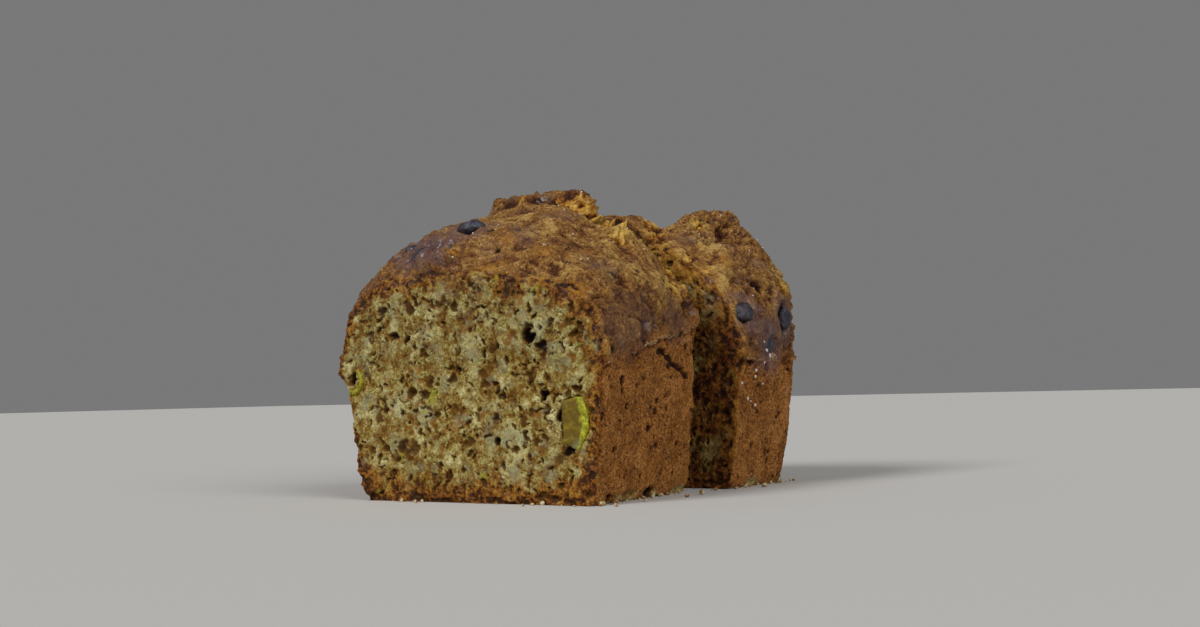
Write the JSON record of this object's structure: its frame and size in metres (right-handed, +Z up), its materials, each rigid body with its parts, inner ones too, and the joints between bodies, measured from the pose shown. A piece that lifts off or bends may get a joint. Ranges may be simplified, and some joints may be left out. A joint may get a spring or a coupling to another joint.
{
  "type": "savoury loaf cake",
  "caption": "Loaf cake with a domed, cracked crust, cut across; its two pieces stand in line with a gap between their open crumb faces.",
  "frame": {"origin": "middle of the footprint of both pieces, on the surface that they stand on", "axes": "+Z up; +Y from the front cut along the loaf to its baked end; +X to the right of someone who faces the front cut"},
  "size_m": [0.1144, 0.128, 0.101],
  "materials": {
    "baked_batter": "matt brown baked crust over an open, mottled beige and golden crumb",
    "green_flesh": "moist olive green flesh with a yellow-green rind",
    "green_rind": "moist yellow-green rind",
    "dark_fruit": "wrinkled purple-black dried fruit"
  },
  "bodies": {
    "root": {"front_piece": "baked_batter", "rear_piece": "baked_batter", "green_chunk": "green_flesh", "green_curl": "green_rind", "dark_fruit_1": "dark_fruit", "dark_fruit_2": "dark_fruit", "dark_fruit_3": "dark_fruit", "dark_fruit_4": "dark_fruit", "dark_fruit_5": "dark_fruit", "dark_fruit_6": "dark_fruit"}
  },
  "joints": []
}
